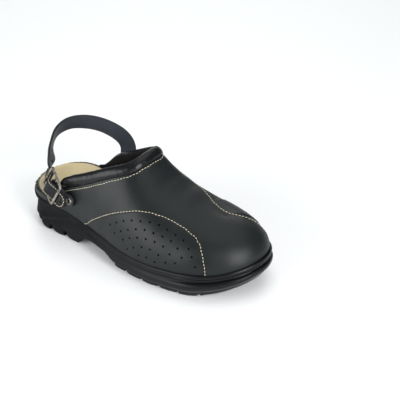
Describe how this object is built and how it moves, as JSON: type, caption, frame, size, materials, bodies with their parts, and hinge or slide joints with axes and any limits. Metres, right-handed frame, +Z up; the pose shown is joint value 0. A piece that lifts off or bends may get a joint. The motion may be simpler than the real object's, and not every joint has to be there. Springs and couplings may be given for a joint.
{
  "type": "work clog",
  "caption": "Right leather work clog with closed toe, open heel, padded collar, buckled heel strap and moulded lugged sole.",
  "frame": {"origin": "centre of the bounding box, on the floor", "axes": "+X from the heel to the toe, +Y towards the inner side of the foot, +Z up"},
  "size_m": [0.285, 0.11, 0.1168],
  "materials": {
    "sole_moulding": "satin moulded polyurethane",
    "footbed_leather": "undyed matt leather",
    "upper_leather": "smooth leather with a low gloss",
    "collar_leather": "soft padded leather with some gloss",
    "strap_leather": "matt leather",
    "buckle_metal": "aged nickel",
    "rivet_metal": "nickel plated"
  },
  "bodies": {
    "root": {"sole": "sole_moulding", "footbed": "footbed_leather", "upper": "upper_leather", "collar": "collar_leather", "heel_strap": "strap_leather", "buckle_tab": "strap_leather", "buckle_frame": "buckle_metal", "buckle_prong": "buckle_metal", "rivet_outer": "rivet_metal", "rivet_inner": "rivet_metal"}
  },
  "joints": []
}
